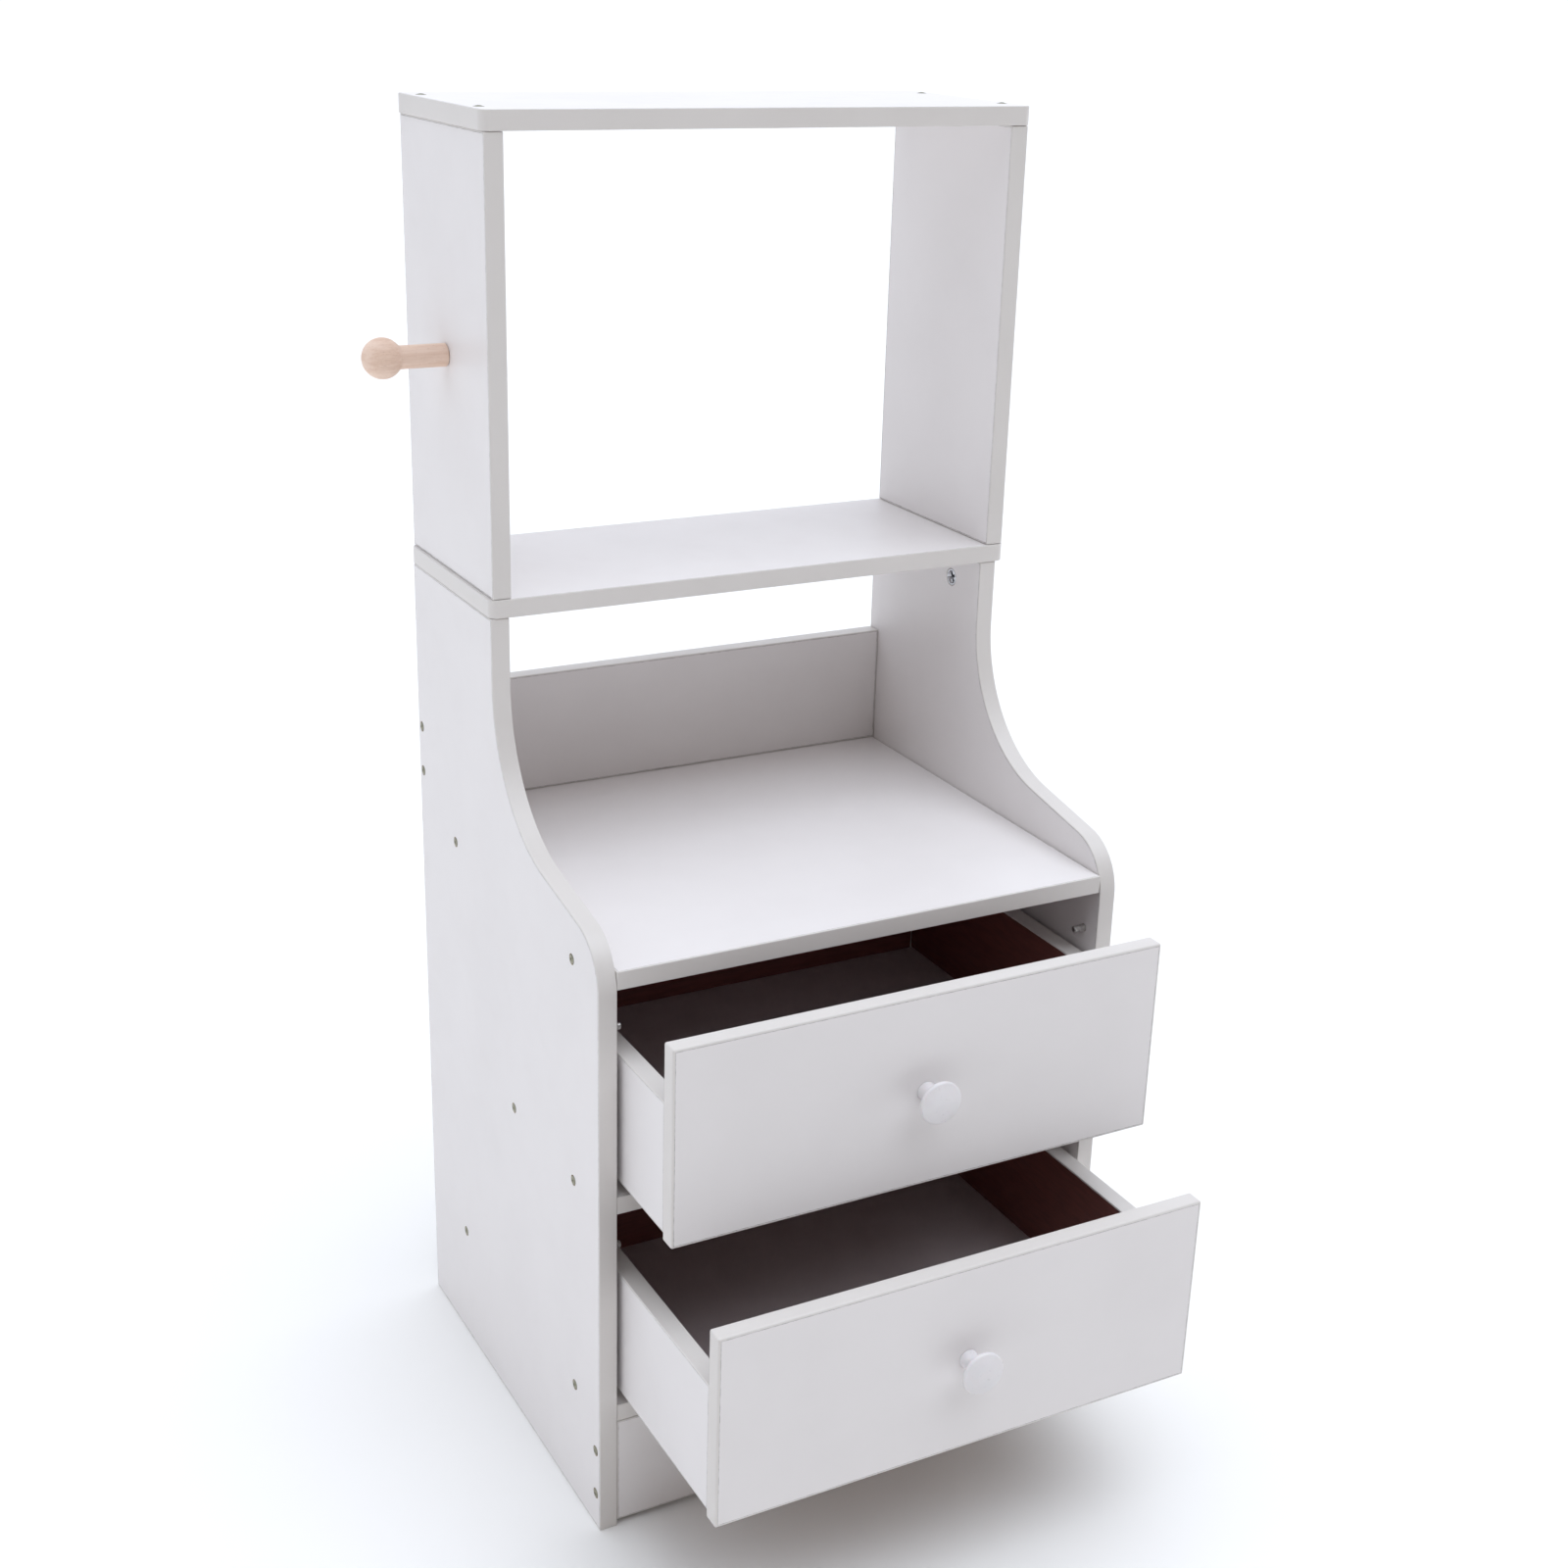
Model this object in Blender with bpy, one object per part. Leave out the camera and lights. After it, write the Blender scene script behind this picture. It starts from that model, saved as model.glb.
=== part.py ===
"""Bedside cabinet with two drawers, curved sides and an open shelf frame on top.

Sizes are in metres. While it is modelled, X runs from the outer face of the left side panel
to the right, Y from the front edges of the side panels to the back, and Z up from the floor.
The empty that carries it all puts the bottom centre of the bounding box on the world's origin.
"""
import bmesh
import bpy
import collections
import math
from mathutils import Matrix, Vector

# ---- driving dimensions -------------------------------------------------------------------
BOARD = 0.015                # thickness of the faced board that nearly everything is cut from
GAP = 0.0003                 # gap left between pieces that touch
CUT_PAST = 0.001             # how far a round cutter runs past the face that it enters
EDGE_ROUND = 0.0008          # rounding of the glued edge bands

WIDTH = 0.460                # over the two lower side panels
DEPTH = 0.385                # front edge to back edge of the lower side panels
NICHE_HEIGHT = 0.212         # clear height between the deck and the middle shelf
NECK_DEPTH = 0.180           # depth of a lower side panel at its top edge

NOSE_RADIUS = 0.045          # rounded front corner of the side panel, beside the deck
NOSE_DROP = 0.018            # the front edge starts to round this far below the deck's top
SWEEP_RADIUS = 0.120         # hollow curve that rises from the nose to the neck
NECK_STRAIGHT = 0.055        # straight upright edge between the hollow curve and the shelf

PLINTH_CLEARANCE = 0.005     # plinth's feet stay this far off the floor
BOTTOM_TOP = 0.115           # floor to the upper face of the bottom board
BAY_HEIGHT = 0.174           # clear height of each drawer bay
DIVIDER_DEPTH = 0.225        # the board between the bays is only as deep as its two screws need
EDGE_SETBACK = 0.001         # boards stand back this far from the side panels' front edges
BACK_RAIL_HEIGHT = 0.106     # upstand at the back of the deck
BACK_PANEL = 0.003           # hardboard sheet nailed on from behind
BACK_PANEL_INSET = 0.002     # hardboard's side edges stay inside the side panels' outer faces
BACK_PANEL_LAP = 0.0065      # how far it reaches down over the bottom board's back edge
BACK_PANEL_DROP = 0.0033     # its upper edge below the deck's top
BACK_PANEL_ROUND = 0.0003

PLINTH_FOOT = 0.069          # full-height end of the plinth before its notch
PLINTH_NOTCH = 0.020         # height of the notch, with ends cut at 45 degrees

SHELF_END_OVERHANG = 0.004   # middle shelf and top board past the side panels, at each end
SHELF_FRONT_OVERHANG = 0.001
SHELF_REAR_OVERHANG = 0.004
SHELF_CORNER = 0.007         # rounded upright corners of both boards
FRAME_SHIFT = 0.0035         # the open frame stands this far right of the cabinet's middle
UPRIGHT_INSET = 0.0025       # uprights' outer faces inside the shelf's ends
UPRIGHT_SETBACK = 0.001      # uprights' edges inside the shelf's front and back edges
UPRIGHT_HEIGHT = 0.345

PEG_BALL_RADIUS = 0.0158
PEG_REACH = 0.0668           # from the upright's face to the end of the ball
PEG_STEM_RADIUS = 0.0090
PEG_FILLET = 0.0040          # hollow where the stem flows into the ball
PEG_FOOT_CHAMFER = 0.0008    # broken edge of the stem at the upright
PEG_TENON_RADIUS = 0.005
PEG_TENON_LENGTH = 0.010

FRONT_GAP_SIDE = 0.0035      # between a drawer front and the side panels
FRONT_GAP_TOP = 0.0070
FRONT_GAP_BOTTOM = 0.0050
FRONT_ROUND = 0.0016         # rounding of a drawer front's edges and corners
BOX_INSET = 0.001            # box sides stand inside the ends of the front
BOX_LIP = 0.005              # front reaches this far below the box
BOX_HEIGHT = 0.108
BOX_REAR_ROOM = 0.030        # from a closed box to the side panels' back edges
SHEET = 0.003                # drawer bottom
SHEET_GROOVE = 0.006         # depth of the grooves that hold the drawer bottom
SHEET_RISE = 0.009           # drawer bottom above the lower edge of the box sides
SHEET_ROUND = 0.0003
UPPER_OPENING = 0.088        # how far each drawer stands open
LOWER_OPENING = 0.167

RUNNER_WIDTH = 0.015         # strips that the box sides slide on
RUNNER_SETBACK = 0.040       # strips' front ends behind the side panels' front edges
RUNNER_REAR_ROOM = 0.020     # strips' rear ends before the side panels' back edges

STOP_RADIUS = 0.003          # steel pins that a closing front comes up against
STOP_REACH = 0.0105          # pin's length outside the panel
STOP_DEPTH = 0.008           # pin's length inside the panel
STOP_OVER_BOX = 0.018        # pin's centre above the box sides
STOP_CHAMFER = 0.0008

KNOB_CAP_RADIUS = 0.0176
KNOB_BASE_RADIUS = 0.0078    # stem at the drawer front
KNOB_FOOT = 0.0015           # height of the straight foot of the stem
KNOB_WAIST_RADIUS = 0.0068
KNOB_WAIST_LOW = 0.0055      # the waist starts and ends at these heights
KNOB_WAIST_HIGH = 0.0080
KNOB_FLARE_RADIUS = 0.0115   # hollow in which the stem widens to the cap
KNOB_FLARE_TURN = 60         # degrees
KNOB_REACH = 0.025           # from the drawer front to the crown of the cap
KNOB_CAP_THICKNESS = 0.0070
KNOB_RIM_RADIUS = 0.0022     # half the thickness of the cap's round rim

SCREW_HEAD_RADIUS = 0.0037
SCREW_HEAD_RISE = 0.0009     # low dome that stands out of the board
SCREW_HEAD_FLAT = 0.0013     # radius of the dome's flat middle
SCREW_SINK = 0.0022          # depth of the countersunk part of the head
SCREW_SHANK_RADIUS = 0.0020
SCREW_POINT_RADIUS = 0.0010
SCREW_LENGTH = 0.045
RECESS_LENGTH = 0.0038       # cross recess in a screw head
RECESS_WIDTH = 0.0009
RECESS_DEPTH = 0.0012
SCREW_FRONT = 0.050          # front screw of each board, from the front edge
SCREW_REAR = 0.085           # rear screw of deck and bottom board, from the back edge
DIVIDER_SCREW_REAR = 0.050   # rear screw of the divider, from its own back edge
RAIL_SCREW_HEIGHTS = (0.030, 0.070)      # above the deck
PLINTH_SCREW_HEIGHTS = (0.031, 0.072)    # above the floor
TOP_SCREW_INSET = 0.030      # top screws from the front and back edges of the top board

CAM_RADIUS = 0.0075
CAM_CHAMFER = 0.0003
CAM_SKIN = 0.0025            # board left between the cam and the outer face
CAM_BELOW_EDGE = 0.024       # cam's centre below the side panel's top edge
CAM_FROM_FRONT = 0.045       # cam's centre behind the neck's front edge
CAM_RECESS_LENGTH = 0.0080
CAM_RECESS_WIDTH = 0.0018
CAM_RECESS_DEPTH = 0.0025

ROUND_STEPS = 32             # segments round a turned piece
SMALL_STEPS = 12             # segments round a screw, pin or cam

# ---- places worked out from the driving dimensions ----------------------------------------
INNER_LEFT = BOARD
INNER_RIGHT = WIDTH - BOARD
MIDDLE = WIDTH / 2
NECK_FRONT = DEPTH - NECK_DEPTH
DIVIDER_TOP = BOTTOM_TOP + BAY_HEIGHT + BOARD
DECK_TOP = DIVIDER_TOP + BAY_HEIGHT + BOARD
SIDE_HEIGHT = DECK_TOP + NICHE_HEIGHT
SHELF_TOP = SIDE_HEIGHT + BOARD
UPRIGHT_TOP = SHELF_TOP + UPRIGHT_HEIGHT
SHELF_LEFT = FRAME_SHIFT - SHELF_END_OVERHANG
SHELF_RIGHT = WIDTH + FRAME_SHIFT + SHELF_END_OVERHANG
SHELF_FRONT = NECK_FRONT - SHELF_FRONT_OVERHANG
SHELF_BACK = DEPTH + SHELF_REAR_OVERHANG
UPRIGHT_LEFT = SHELF_LEFT + UPRIGHT_INSET
UPRIGHT_RIGHT = SHELF_RIGHT - UPRIGHT_INSET
PEG_Y = (SHELF_FRONT + SHELF_BACK) / 2
PEG_Z = SHELF_TOP + UPRIGHT_HEIGHT / 2
FRONT_HEIGHT = BAY_HEIGHT - FRONT_GAP_TOP - FRONT_GAP_BOTTOM
BOX_RISE = FRONT_GAP_BOTTOM + BOX_LIP
FRONT_WIDTH = WIDTH - 2 * BOARD - 2 * FRONT_GAP_SIDE
BOX_WIDTH = FRONT_WIDTH - 2 * BOX_INSET
PEG_END = UPRIGHT_LEFT - PEG_REACH
KNOB_END = -max(UPPER_OPENING, LOWER_OPENING) - KNOB_REACH


# ---- materials ----------------------------------------------------------------------------
def finish(name, colour, roughness, metallic=0.0):
    """Make one finish as a Principled material."""
    material = bpy.data.materials.new(name)
    material.use_nodes = True
    shader = material.node_tree.nodes["Principled BSDF"]
    shader.inputs["Base Color"].default_value = (*colour, 1.0)
    shader.inputs["Roughness"].default_value = roughness
    shader.inputs["Metallic"].default_value = metallic
    material.diffuse_color = (*colour, 1.0)
    return material


# ---- modelling helpers --------------------------------------------------------------------
def add_object(name, mesh, material, place=(0, 0, 0), parent=None):
    """Link a mesh as a named object under its parent."""
    item = bpy.data.objects.new(name, mesh)
    bpy.context.scene.collection.objects.link(item)
    item.location = place
    item.parent = parent
    if material:
        mesh.materials.clear()
        mesh.materials.append(material)
    return item


def soften(item, width, segments=2):
    """Round the sharp edges of a board."""
    bevel = item.modifiers.new("edges", "BEVEL")
    bevel.width = width
    bevel.segments = segments
    bevel.limit_method = "ANGLE"
    bevel.angle_limit = math.radians(40)
    return item


def cut(item, cutter):
    """Take a cutter's shape out of a piece."""
    boolean = item.modifiers.new("cut", "BOOLEAN")
    boolean.operation = "DIFFERENCE"
    boolean.solver = "EXACT"
    boolean.object = cutter


def hide_cutter(item):
    item.hide_render = True
    item.display_type = "WIRE"
    return item


def box_mesh(name, size, corner=0.0):
    """Box about its own centre, with its four upright edges rounded when corner is set."""
    bm = bmesh.new()
    bmesh.ops.create_cube(bm, size=1.0)
    bmesh.ops.scale(bm, vec=Vector(size), verts=bm.verts)
    if corner:
        upright = [e for e in bm.edges if abs(e.verts[0].co.z - e.verts[1].co.z) > size[2] / 2]
        bmesh.ops.bevel(bm, geom=upright, offset=corner, segments=8, affect="EDGES", profile=0.5)
    mesh = bpy.data.meshes.new(name)
    bm.to_mesh(mesh)
    bm.free()
    return mesh


def board(name, low, high, material, parent=None, corner=0.0, rounding=EDGE_ROUND):
    """Board between two opposite corners."""
    low = Vector(low)
    high = Vector(high)
    mesh = box_mesh(name, high - low, corner)
    return soften(add_object(name, mesh, material, (low + high) / 2, parent), rounding)


def outline_mesh(name, points, thickness, across):
    """Outline extruded by its thickness: across 'X' takes (y, z) points, across 'Y' takes (x, z)."""
    bm = bmesh.new()
    if across == "X":
        corners = [bm.verts.new((0, a, b)) for a, b in points]
        step = Vector((thickness, 0, 0))
    else:
        corners = [bm.verts.new((a, 0, b)) for a, b in points]
        step = Vector((0, thickness, 0))
    face = bm.faces.new(corners)
    grown = bmesh.ops.extrude_face_region(bm, geom=[face])
    moved = [g for g in grown["geom"] if isinstance(g, bmesh.types.BMVert)]
    bmesh.ops.translate(bm, vec=step, verts=moved)
    bmesh.ops.recalc_face_normals(bm, faces=bm.faces)
    mesh = bpy.data.meshes.new(name)
    bm.to_mesh(mesh)
    bm.free()
    return mesh


def turned_mesh(name, profile, turn, steps):
    """Turned piece: (radius, height) points from pole to pole about Z, then turned into place."""
    bm = bmesh.new()
    line = [bm.verts.new((radius, 0, height)) for radius, height in profile]
    edges = [bm.edges.new(pair) for pair in zip(line, line[1:])]
    bmesh.ops.spin(bm, geom=line + edges, cent=(0, 0, 0), axis=(0, 0, 1), angle=math.tau,
                   steps=steps, use_duplicate=False)
    bmesh.ops.remove_doubles(bm, verts=bm.verts, dist=1e-6)
    bmesh.ops.recalc_face_normals(bm, faces=bm.faces)
    bmesh.ops.transform(bm, matrix=turn, verts=bm.verts)
    mesh = bpy.data.meshes.new(name)
    bm.to_mesh(mesh)
    bm.free()
    mesh.shade_smooth()
    mesh.set_sharp_from_angle(angle=math.radians(35))
    return mesh


def arc(centre, radius, start, end, steps):
    """Points of an arc about a centre, angles in degrees."""
    turns = [math.radians(start + (end - start) * i / steps) for i in range(steps + 1)]
    return [(centre[0] + radius * math.cos(t), centre[1] + radius * math.sin(t)) for t in turns]


FACING = {
    "left": Matrix.Rotation(math.radians(-90), 4, "Y"),
    "right": Matrix.Rotation(math.radians(90), 4, "Y"),
    "front": Matrix.Rotation(math.radians(90), 4, "X"),
    "up": Matrix.Identity(4),
}


def cylinder_profile(radius, low, high):
    return [(0, low), (radius, low), (radius, high), (0, high)]


def cut_holes(holes, pieces, root):
    """Cut each piece's turned holes with one cutter: holes maps a piece to (profile, facing, place)."""
    for name, wanted in holes.items():
        bm = bmesh.new()
        for profile, facing, place in wanted:
            turn = Matrix.Translation(place) @ FACING[facing]
            bm.from_mesh(turned_mesh("hole", profile, turn, SMALL_STEPS))
        mesh = bpy.data.meshes.new(name + "_holes")
        bm.to_mesh(mesh)
        bm.free()
        cut(pieces[name], hide_cutter(add_object(name + "_holes", mesh, None, (0, 0, 0), root)))


def cross_recess(mesh, top, length, width, depth):
    """Sink a cross recess into the top of a turned piece that stands on Z."""
    bm = bmesh.new()
    for size in ((length, width), (width, length)):
        arm = bmesh.ops.create_cube(bm, size=1.0)["verts"]
        bmesh.ops.scale(bm, vec=(*size, 2 * depth), verts=arm)
        bmesh.ops.translate(bm, vec=(0, 0, top), verts=arm)
    cutter_mesh = bpy.data.meshes.new("recess")
    bm.to_mesh(cutter_mesh)
    bm.free()
    cutter = add_object("recess", cutter_mesh, None)
    blank = add_object("blank", mesh, None)
    cut(blank, cutter)
    blank.modifiers["cut"].use_self = True
    bpy.context.view_layer.update()
    ready = bpy.data.meshes.new_from_object(blank.evaluated_get(bpy.context.evaluated_depsgraph_get()))
    for helper in (cutter, blank):
        bpy.data.objects.remove(helper)
    return ready


def facing_copy(mesh, name, facing):
    """Copy of a mesh that stands on Z, turned to face its way."""
    copy = mesh.copy()
    copy.name = name
    copy.transform(FACING[facing])
    return copy


# ---- lower cabinet ------------------------------------------------------------------------
def side_outline():
    """Side panel seen from the side: foot, nose, hollow sweep and neck."""
    nose = (NOSE_RADIUS, DECK_TOP - NOSE_DROP)
    rise = SIDE_HEIGHT - NECK_STRAIGHT - nose[1]
    reach = NECK_FRONT - NOSE_RADIUS
    widest = (reach ** 2 + rise ** 2 - NOSE_RADIUS ** 2) / (2 * NECK_FRONT)
    radius = min(SWEEP_RADIUS, widest)
    run = reach - radius
    across = min(1, (NOSE_RADIUS + radius) / math.hypot(run, rise))
    tilt = math.degrees(math.acos(across) - math.atan2(run, rise))
    outline = [(0, 0)]
    outline += arc(nose, NOSE_RADIUS, 180, 90 + tilt, 10)
    outline += arc((NECK_FRONT - radius, nose[1] + rise), radius, tilt - 90, 0, 16)
    outline += [(NECK_FRONT, SIDE_HEIGHT), (DEPTH, SIDE_HEIGHT), (DEPTH, 0)]
    return outline


def side_panel(name, x, material, root):
    mesh = outline_mesh(name, side_outline(), BOARD, "X")
    return soften(add_object(name, mesh, material, (x, 0, 0), root), EDGE_ROUND)


def plinth_board(material, root):
    """Board under the bottom board, notched along its lower edge."""
    left = INNER_LEFT + GAP
    right = INNER_RIGHT - GAP
    low = PLINTH_CLEARANCE
    notch = low + PLINTH_NOTCH
    high = BOTTOM_TOP - BOARD - GAP
    outline = [(left, low), (left + PLINTH_FOOT, low), (left + PLINTH_FOOT + PLINTH_NOTCH, notch),
               (right - PLINTH_FOOT - PLINTH_NOTCH, notch), (right - PLINTH_FOOT, low), (right, low),
               (right, high), (left, high)]
    mesh = outline_mesh("plinth", outline, BOARD, "Y")
    return soften(add_object("plinth", mesh, material, (0, EDGE_SETBACK, 0), root), EDGE_ROUND)


def level_board(name, top, depth, material, root):
    """Level board between the side panels."""
    low = (INNER_LEFT + GAP, EDGE_SETBACK, top - BOARD)
    high = (INNER_RIGHT - GAP, depth, top)
    return board(name, low, high, material, root)


def build_carcass(white, root):
    pieces = {
        "left_side": side_panel("left_side", 0, white, root),
        "right_side": side_panel("right_side", INNER_RIGHT, white, root),
        "deck": level_board("deck", DECK_TOP, DEPTH, white, root),
        "divider": level_board("divider", DIVIDER_TOP, DIVIDER_DEPTH, white, root),
        "bottom_board": level_board("bottom_board", BOTTOM_TOP, DEPTH, white, root),
        "plinth": plinth_board(white, root),
    }
    rail_low = (INNER_LEFT + GAP, DEPTH - BOARD, DECK_TOP + GAP)
    rail_high = (INNER_RIGHT - GAP, DEPTH, DECK_TOP + BACK_RAIL_HEIGHT)
    pieces["back_rail"] = board("back_rail", rail_low, rail_high, white, root)
    panel_low = (BACK_PANEL_INSET, DEPTH + GAP, BOTTOM_TOP - BACK_PANEL_LAP)
    panel_high = (WIDTH - BACK_PANEL_INSET, DEPTH + GAP + BACK_PANEL, DECK_TOP - BACK_PANEL_DROP)
    pieces["back_panel"] = board("back_panel", panel_low, panel_high, white, root,
                                 rounding=BACK_PANEL_ROUND)
    return pieces


def build_runners(white, root):
    """Strips on the inner faces of the side panels that carry the drawer boxes."""
    for bay, floor in (("upper", DIVIDER_TOP), ("lower", BOTTOM_TOP)):
        for side, x in (("left", INNER_LEFT + GAP), ("right", INNER_RIGHT - GAP - RUNNER_WIDTH)):
            low = (x, RUNNER_SETBACK, floor + GAP)
            high = (x + RUNNER_WIDTH, DEPTH - RUNNER_REAR_ROOM, floor + BOX_RISE - GAP)
            board(f"{bay}_{side}_runner", low, high, white, root)


def build_stops(steel, holes, root):
    """Pins behind each drawer front, pushed into blind holes in the side panels."""
    profile = [(0, -STOP_DEPTH), (STOP_RADIUS, -STOP_DEPTH),
               (STOP_RADIUS, STOP_REACH - STOP_CHAMFER),
               (STOP_RADIUS - STOP_CHAMFER, STOP_REACH), (0, STOP_REACH)]
    y = BOARD + GAP + STOP_RADIUS
    for bay, floor in (("upper", DIVIDER_TOP), ("lower", BOTTOM_TOP)):
        for side, x, facing in (("left", INNER_LEFT, "right"), ("right", INNER_RIGHT, "left")):
            place = (x, y, floor + BOX_RISE + BOX_HEIGHT + STOP_OVER_BOX)
            name = f"{bay}_{side}_stop_pin"
            mesh = turned_mesh(name, profile, FACING[facing], SMALL_STEPS)
            add_object(name, mesh, steel, place, root)
            hole = cylinder_profile(STOP_RADIUS + GAP, -STOP_DEPTH - GAP, CUT_PAST)
            holes[side + "_side"].append((hole, facing, place))


def build_cams(steel, holes, root):
    """Cam locks in the side panels' inner faces, under the shelf."""
    cam_depth = BOARD - CAM_SKIN
    profile = [(0, -cam_depth), (CAM_RADIUS, -cam_depth), (CAM_RADIUS, -CAM_CHAMFER),
               (CAM_RADIUS - CAM_CHAMFER, 0), (0, 0)]
    blank = turned_mesh("cam", profile, FACING["up"], SMALL_STEPS)
    cam = cross_recess(blank, 0, CAM_RECESS_LENGTH, CAM_RECESS_WIDTH, CAM_RECESS_DEPTH)
    for side, x, facing in (("left", INNER_LEFT, "right"), ("right", INNER_RIGHT, "left")):
        place = (x, NECK_FRONT + CAM_FROM_FRONT, SIDE_HEIGHT - CAM_BELOW_EDGE)
        name = f"{side}_cam_lock"
        add_object(name, facing_copy(cam, name, facing), steel, place, root)
        hole = cylinder_profile(CAM_RADIUS + GAP, -cam_depth - GAP, CUT_PAST)
        holes[side + "_side"].append((hole, facing, place))


# ---- screws -------------------------------------------------------------------------------
def screw_profile():
    """Countersunk screw with a low domed head, from its tip up."""
    middle = (SCREW_HEAD_RADIUS + SCREW_HEAD_FLAT) / 2
    return [(0, -SCREW_LENGTH), (SCREW_POINT_RADIUS, -SCREW_LENGTH),
            (SCREW_SHANK_RADIUS, -SCREW_LENGTH + SCREW_SINK), (SCREW_SHANK_RADIUS, -SCREW_SINK),
            (SCREW_HEAD_RADIUS, 0), (middle, SCREW_HEAD_RISE * 0.75),
            (SCREW_HEAD_FLAT, SCREW_HEAD_RISE), (0, SCREW_HEAD_RISE)]


def screw_hole_profile():
    """Bore and countersink with room round the screw; the countersink runs on above the face."""
    bore = SCREW_SHANK_RADIUS + GAP
    widen = (SCREW_HEAD_RADIUS - SCREW_SHANK_RADIUS) / SCREW_SINK
    mouth = SCREW_HEAD_RADIUS + GAP + widen * (CUT_PAST + GAP)
    start = -SCREW_SINK - GAP
    end = -SCREW_LENGTH - GAP
    return [(0, end), (bore, end), (bore, start), (mouth, CUT_PAST), (0, CUT_PAST)]


def build_screws(steel, holes, root):
    """Ten screws in each side panel and four in the top board."""
    blank = turned_mesh("screw", screw_profile(), FACING["up"], SMALL_STEPS)
    screw = cross_recess(blank, SCREW_HEAD_RISE, RECESS_LENGTH, RECESS_WIDTH, RECESS_DEPTH)
    deck_line = DECK_TOP - BOARD / 2
    divider_line = DIVIDER_TOP - BOARD / 2
    bottom_line = BOTTOM_TOP - BOARD / 2
    rail_line = DEPTH - BOARD / 2
    plinth_line = EDGE_SETBACK + BOARD / 2
    side_places = {
        "deck_front": ("deck", SCREW_FRONT, deck_line),
        "deck_rear": ("deck", DEPTH - SCREW_REAR, deck_line),
        "divider_front": ("divider", SCREW_FRONT, divider_line),
        "divider_rear": ("divider", DIVIDER_DEPTH - DIVIDER_SCREW_REAR, divider_line),
        "bottom_front": ("bottom_board", SCREW_FRONT, bottom_line),
        "bottom_rear": ("bottom_board", DEPTH - SCREW_REAR, bottom_line),
        "rail_lower": ("back_rail", rail_line, DECK_TOP + RAIL_SCREW_HEIGHTS[0]),
        "rail_upper": ("back_rail", rail_line, DECK_TOP + RAIL_SCREW_HEIGHTS[1]),
        "plinth_lower": ("plinth", plinth_line, PLINTH_SCREW_HEIGHTS[0]),
        "plinth_upper": ("plinth", plinth_line, PLINTH_SCREW_HEIGHTS[1]),
    }
    for side, x in (("left", 0.0), ("right", WIDTH)):
        for label, (held, y, z) in side_places.items():
            add_object(f"{side}_{label}_screw", facing_copy(screw, label, side), steel, (x, y, z), root)
            for piece in (side + "_side", held):
                holes[piece].append((screw_hole_profile(), side, (x, y, z)))
    top = UPRIGHT_TOP + BOARD
    for side, x in (("left", UPRIGHT_LEFT + BOARD / 2), ("right", UPRIGHT_RIGHT - BOARD / 2)):
        for label, y in (("front", SHELF_FRONT + TOP_SCREW_INSET), ("rear", SHELF_BACK - TOP_SCREW_INSET)):
            add_object(f"top_{side}_{label}_screw", facing_copy(screw, label, "up"), steel, (x, y, top), root)
            for piece in ("top_board", side + "_upright"):
                holes[piece].append((screw_hole_profile(), "up", (x, y, top)))


# ---- open frame on top --------------------------------------------------------------------
def build_frame(white, root):
    """Middle shelf, two uprights and top board."""
    pieces = {}
    for name, low, high in (("middle_shelf", SIDE_HEIGHT + GAP, SHELF_TOP),
                            ("top_board", UPRIGHT_TOP, UPRIGHT_TOP + BOARD)):
        pieces[name] = board(name, (SHELF_LEFT, SHELF_FRONT, low), (SHELF_RIGHT, SHELF_BACK, high),
                             white, root, SHELF_CORNER)
    front = SHELF_FRONT + UPRIGHT_SETBACK
    back = SHELF_BACK - UPRIGHT_SETBACK
    for side, x in (("left", UPRIGHT_LEFT), ("right", UPRIGHT_RIGHT - BOARD)):
        low = (x, front, SHELF_TOP + GAP)
        high = (x + BOARD, back, UPRIGHT_TOP - GAP)
        pieces[side + "_upright"] = board(side + "_upright", low, high, white, root)
    return pieces


def build_peg(beech, holes, root):
    """Turned peg with a ball end, its tenon glued into the left upright."""
    ball = PEG_REACH - PEG_BALL_RADIUS
    fillet_out = PEG_STEM_RADIUS + PEG_FILLET
    fillet_up = math.sqrt((PEG_BALL_RADIUS + PEG_FILLET) ** 2 - fillet_out ** 2)
    touch = math.degrees(math.atan2(fillet_up, fillet_out))
    profile = [(0, -PEG_TENON_LENGTH), (PEG_TENON_RADIUS, -PEG_TENON_LENGTH), (PEG_TENON_RADIUS, GAP),
               (PEG_STEM_RADIUS - PEG_FOOT_CHAMFER, GAP), (PEG_STEM_RADIUS, GAP + PEG_FOOT_CHAMFER)]
    profile += arc((fillet_out, ball - fillet_up), PEG_FILLET, 180, 180 - touch, 4)
    profile += arc((0, ball), PEG_BALL_RADIUS, -touch, 90, 11)[1:-1]
    profile += [(0, PEG_REACH)]
    place = (UPRIGHT_LEFT, PEG_Y, PEG_Z)
    mesh = turned_mesh("peg", profile, FACING["left"], ROUND_STEPS)
    add_object("peg", mesh, beech, place, root)
    hole = cylinder_profile(PEG_TENON_RADIUS + GAP, -PEG_TENON_LENGTH - GAP, CUT_PAST)
    holes["left_upright"].append((hole, "left", place))


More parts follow.
